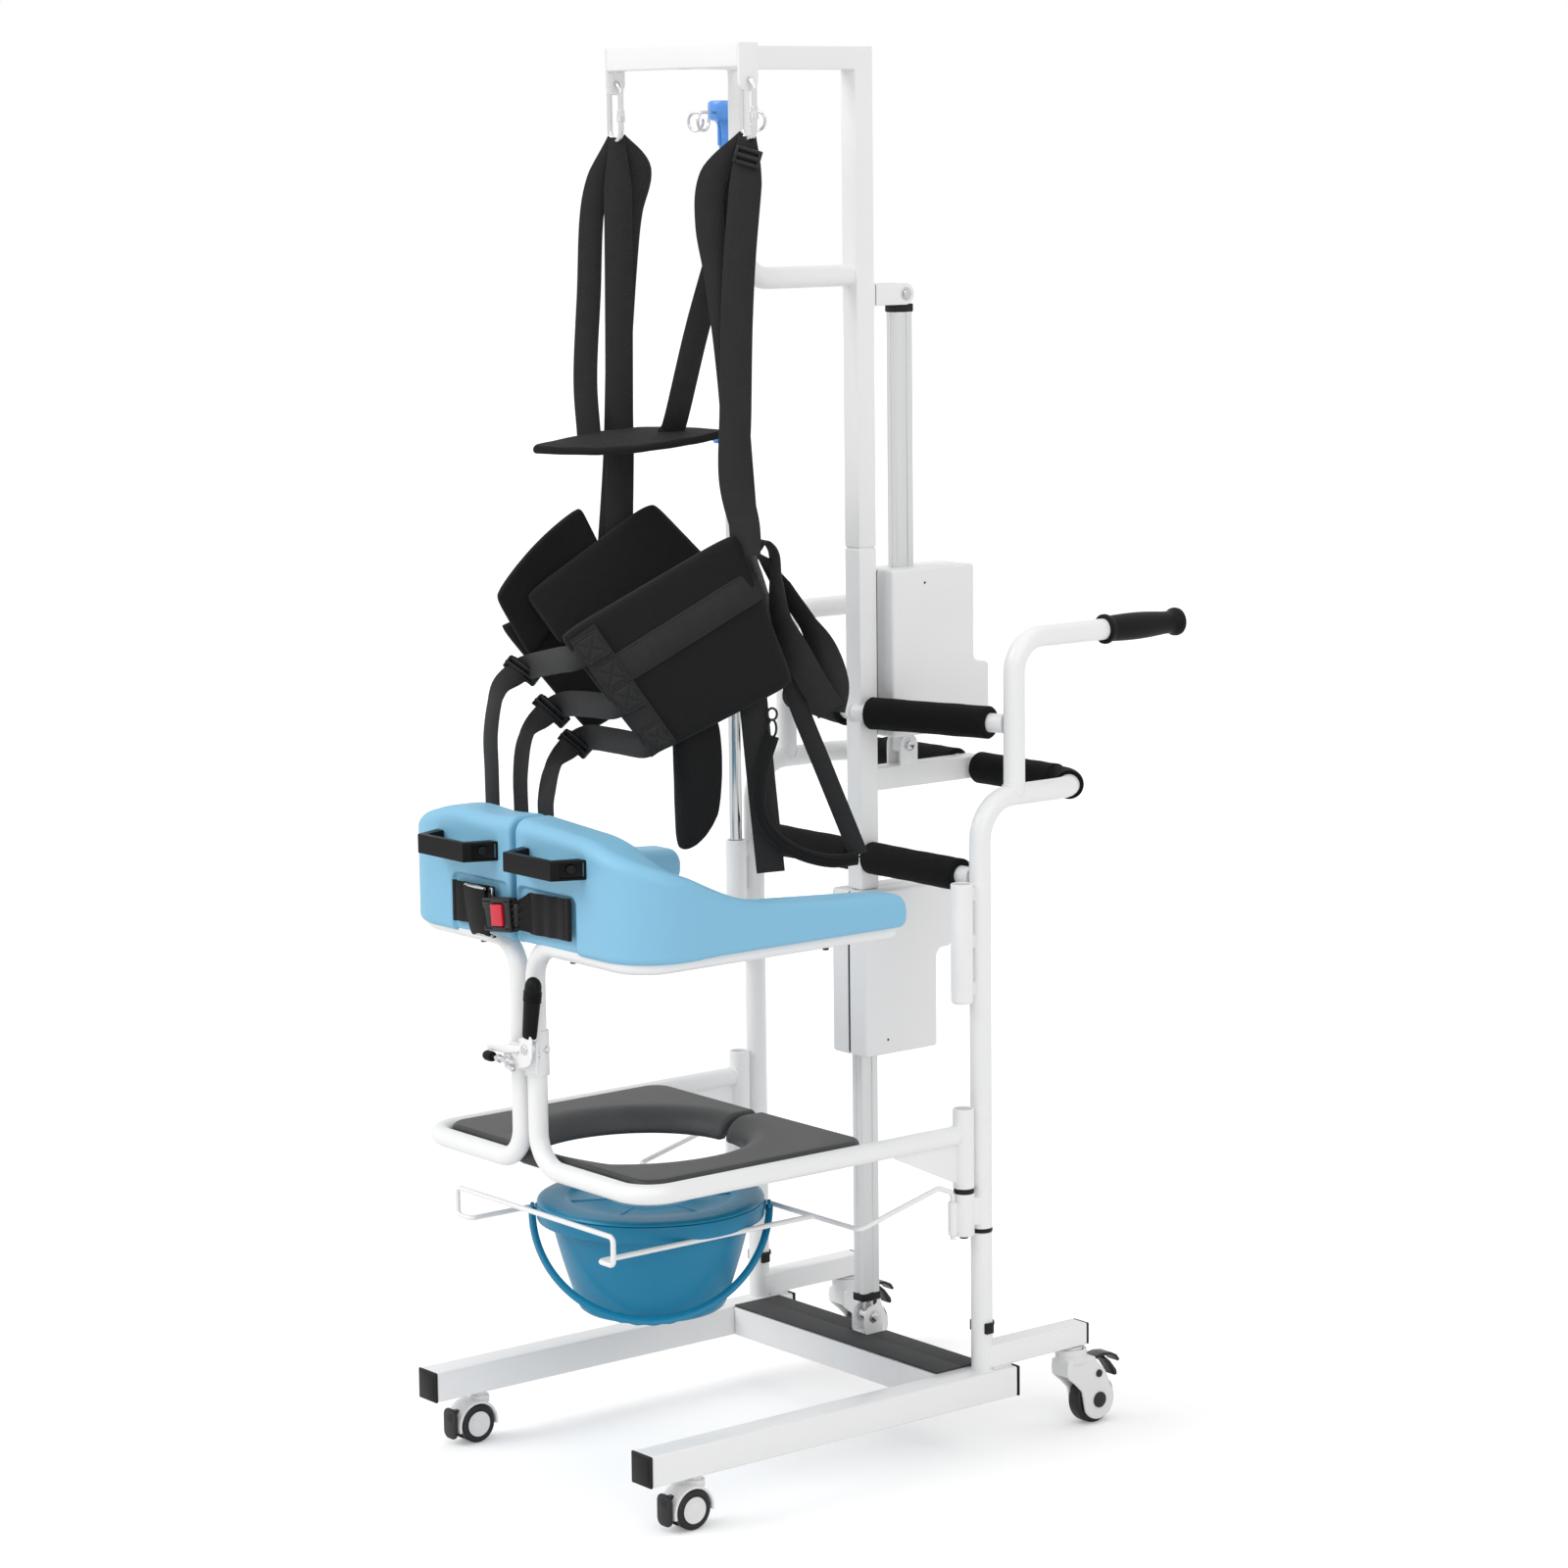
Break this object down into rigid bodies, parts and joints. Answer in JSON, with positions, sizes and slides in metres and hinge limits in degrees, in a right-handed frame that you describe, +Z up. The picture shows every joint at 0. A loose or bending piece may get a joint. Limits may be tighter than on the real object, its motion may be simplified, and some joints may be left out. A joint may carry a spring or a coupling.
{
  "type": "sit to stand patient lift",
  "caption": "Mobile sit to stand patient lift with a height adjustable mast and sling boom, a split swing-open commode seat, moulded back and armrests, an infusion pole and a slide-out bucket.",
  "frame": {"origin": "middle of the bounding box on the floor, under the lift", "axes": "+Z up, +Y from the open front of the legs toward the push handles, +X toward the right side of a person who stands behind the handles' opposite end, at the seat's front, and looks along +Y"},
  "size_m": [0.5518, 0.9632, 1.818],
  "materials": {
    "white_powder_coat": "gloss white powder coat",
    "white_cover_plastic": "satin white moulding",
    "zinc_steel": "bright zinc plating",
    "stainless_steel": "polished stainless tube",
    "anodised_aluminium": "clear anodised extrusion",
    "black_plastic": "grained black moulding",
    "black_rubber": "matt black rubber",
    "black_foam": "closed cell foam sleeve",
    "black_webbing": "woven black webbing and padded cloth",
    "dark_seat_skin": "grained integral skin foam, dark grey",
    "blue_moulded_foam": "smooth integral skin foam, pale blue",
    "teal_plastic": "moulded teal plastic",
    "blue_plastic": "moulded blue plastic",
    "red_plastic": "moulded red push button"
  },
  "bodies": {
    "bucket_bail": {"bucket_bail": "teal_plastic"},
    "base": {"actuator_foot_bracket": "zinc_steel", "footplate_beam": "white_powder_coat", "footplate_mat": "black_rubber", "leg_left": "white_powder_coat", "leg_right": "white_powder_coat", "lower_lift_rod": "zinc_steel"},
    "bucket": {"bucket": "teal_plastic"},
    "buckle_button": {"buckle_button": "red_plastic"},
    "carriage": {"bucket_rack": "white_powder_coat", "column": "white_powder_coat", "handle_grip_left": "black_rubber", "handle_grip_right": "black_rubber", "lower_actuator_profile": "anodised_aluminium", "lower_foam_left": "black_foam", "lower_foam_right": "black_foam", "lower_motor_cover": "white_cover_plastic", "motor_end_cap": "black_plastic", "pole_clamp": "blue_plastic", "pole_tube": "stainless_steel", "rear_foam_left": "black_foam", "rear_foam_right": "black_foam", "side_frame_left": "white_powder_coat", "side_frame_right": "white_powder_coat", "upper_actuator_profile": "anodised_aluminium", "upper_foam_left": "black_foam", "upper_foam_right": "black_foam", "upper_motor_cover": "white_cover_plastic"},
    "front_left_wheel": {"front_left_wheels": "black_rubber"},
    "front_left_brake": {"front_left_brake_pedal": "black_plastic"},
    "front_left_caster": {"front_left_caster_fork": "black_plastic"},
    "front_right_wheel": {"front_right_wheels": "black_rubber"},
    "front_right_brake": {"front_right_brake_pedal": "black_plastic"},
    "front_right_caster": {"front_right_caster_fork": "black_plastic"},
    "latch_lever": {"latch_lever": "black_plastic"},
    "bucket_lid": {"bucket_lid": "teal_plastic"},
    "mast": {"mast_boom": "white_powder_coat", "upper_lift_rod": "zinc_steel"},
    "pole_rod": {"pole_hook_head": "blue_plastic", "pole_inner_rod": "stainless_steel"},
    "pole_knob": {"pole_knob": "blue_plastic"},
    "rear_left_wheel": {"rear_left_wheel": "black_rubber"},
    "rear_left_brake": {"rear_left_brake_pedal": "black_plastic"},
    "rear_left_caster": {"rear_left_caster_fork": "white_cover_plastic"},
    "rear_right_wheel": {"rear_right_wheel": "black_rubber"},
    "rear_right_brake": {"rear_right_brake_pedal": "black_plastic"},
    "rear_right_caster": {"rear_right_caster_fork": "white_cover_plastic"},
    "seat_left": {"back_handle_left": "black_plastic", "backrest_left": "blue_moulded_foam", "belt_left": "black_webbing", "seat_frame_left": "white_powder_coat", "seat_pad_left": "dark_seat_skin"},
    "seat_right": {"back_handle_right": "black_plastic", "backrest_right": "blue_moulded_foam", "belt_right": "black_webbing", "seat_frame_right": "white_powder_coat", "seat_pad_right": "dark_seat_skin"},
    "sling": {"sling_harness": "black_webbing", "snap_ring_left": "zinc_steel", "snap_ring_right": "zinc_steel"}
  },
  "joints": [
    {"name": "lift_slide", "type": "slide", "parent": "base", "child": "carriage", "axis": [0, 0, 1], "range_m": [0, 0.28]},
    {"name": "mast_slide", "type": "slide", "parent": "carriage", "child": "mast", "axis": [0, 0, 1], "range_m": [0, 0.28]},
    {"name": "sling_swing", "type": "hinge", "parent": "mast", "child": "sling", "pos_m": [0.0079, -0.16035, 1.773], "axis": [1, 0, 0], "range_deg": [-8, 3]},
    {"name": "seat_left_swing", "type": "hinge", "parent": "carriage", "child": "seat_left", "pos_m": [-0.2271, 0.09565, 0.428], "axis": [0, 0, -1], "range_deg": [0, 90]},
    {"name": "seat_right_swing", "type": "hinge", "parent": "carriage", "child": "seat_right", "pos_m": [0.2429, 0.09565, 0.428], "axis": [0, 0, 1], "range_deg": [0, 90]},
    {"name": "latch_lever_turn", "type": "hinge", "parent": "seat_right", "child": "latch_lever", "pos_m": [0.0419, -0.42035, 0.585], "axis": [0, 1, 0], "range_deg": [0, 50]},
    {"name": "buckle_button_press", "type": "slide", "parent": "seat_left", "child": "buckle_button", "axis": [0, 1, 0], "range_m": [0, 0.003], "stiffness_N_per_m": 300},
    {"name": "pole_slide", "type": "slide", "parent": "carriage", "child": "pole_rod", "axis": [0, 0, 1], "range_m": [-0.3, 0.1]},
    {"name": "pole_knob_turn", "type": "hinge", "parent": "carriage", "child": "pole_knob", "pos_m": [-0.2271, 0.09465, 1.3073], "axis": [0, -1, 0], "range_deg": [0, 180]},
    {"name": "bucket_slide", "type": "slide", "parent": "carriage", "child": "bucket", "axis": [0, -1, 0], "range_m": [0, 0.26]},
    {"name": "bucket_lid_lift", "type": "slide", "parent": "bucket", "child": "bucket_lid", "axis": [0, 0, 1], "range_m": [0, 0.05]},
    {"name": "bucket_bail_swing", "type": "hinge", "parent": "bucket", "child": "bucket_bail", "pos_m": [0.0079, -0.23435, 0.34265], "axis": [-0.6225, -0.7826, 0], "range_deg": [0, 25]},
    {"name": "front_left_swivel", "type": "hinge", "parent": "base", "child": "front_left_caster", "pos_m": [-0.2271, -0.34735, 0.068], "axis": [0, 0, 1], "continuous": true},
    {"name": "front_left_wheel_spin", "type": "hinge", "parent": "front_left_caster", "child": "front_left_wheel", "pos_m": [-0.2271, -0.36035, 0.0255], "axis": [1, 0, 0], "continuous": true},
    {"name": "front_left_brake_press", "type": "hinge", "parent": "front_left_caster", "child": "front_left_brake", "pos_m": [-0.2271, -0.37585, 0.04335], "axis": [-1, 0, 0], "range_deg": [0, 20]},
    {"name": "front_right_swivel", "type": "hinge", "parent": "base", "child": "front_right_caster", "pos_m": [0.2429, -0.34735, 0.068], "axis": [0, 0, 1], "continuous": true},
    {"name": "front_right_wheel_spin", "type": "hinge", "parent": "front_right_caster", "child": "front_right_wheel", "pos_m": [0.2429, -0.36035, 0.0255], "axis": [1, 0, 0], "continuous": true},
    {"name": "front_right_brake_press", "type": "hinge", "parent": "front_right_caster", "child": "front_right_brake", "pos_m": [0.2429, -0.37585, 0.04335], "axis": [-1, 0, 0], "range_deg": [0, 20]},
    {"name": "rear_left_swivel", "type": "hinge", "parent": "base", "child": "rear_left_caster", "pos_m": [-0.2271, 0.28265, 0.112], "axis": [0, 0, 1], "continuous": true},
    {"name": "rear_left_wheel_spin", "type": "hinge", "parent": "rear_left_caster", "child": "rear_left_wheel", "pos_m": [-0.2271, 0.31865, 0.033], "axis": [1, 0, 0], "continuous": true},
    {"name": "rear_left_brake_press", "type": "hinge", "parent": "rear_left_caster", "child": "rear_left_brake", "pos_m": [-0.2271, 0.31845, 0.0895], "axis": [-1, 0, 0], "range_deg": [0, 12]},
    {"name": "rear_right_swivel", "type": "hinge", "parent": "base", "child": "rear_right_caster", "pos_m": [0.2429, 0.28265, 0.112], "axis": [0, 0, 1], "continuous": true},
    {"name": "rear_right_wheel_spin", "type": "hinge", "parent": "rear_right_caster", "child": "rear_right_wheel", "pos_m": [0.2429, 0.31865, 0.033], "axis": [1, 0, 0], "continuous": true},
    {"name": "rear_right_brake_press", "type": "hinge", "parent": "rear_right_caster", "child": "rear_right_brake", "pos_m": [0.2429, 0.31845, 0.0895], "axis": [-1, 0, 0], "range_deg": [0, 12]}
  ]
}
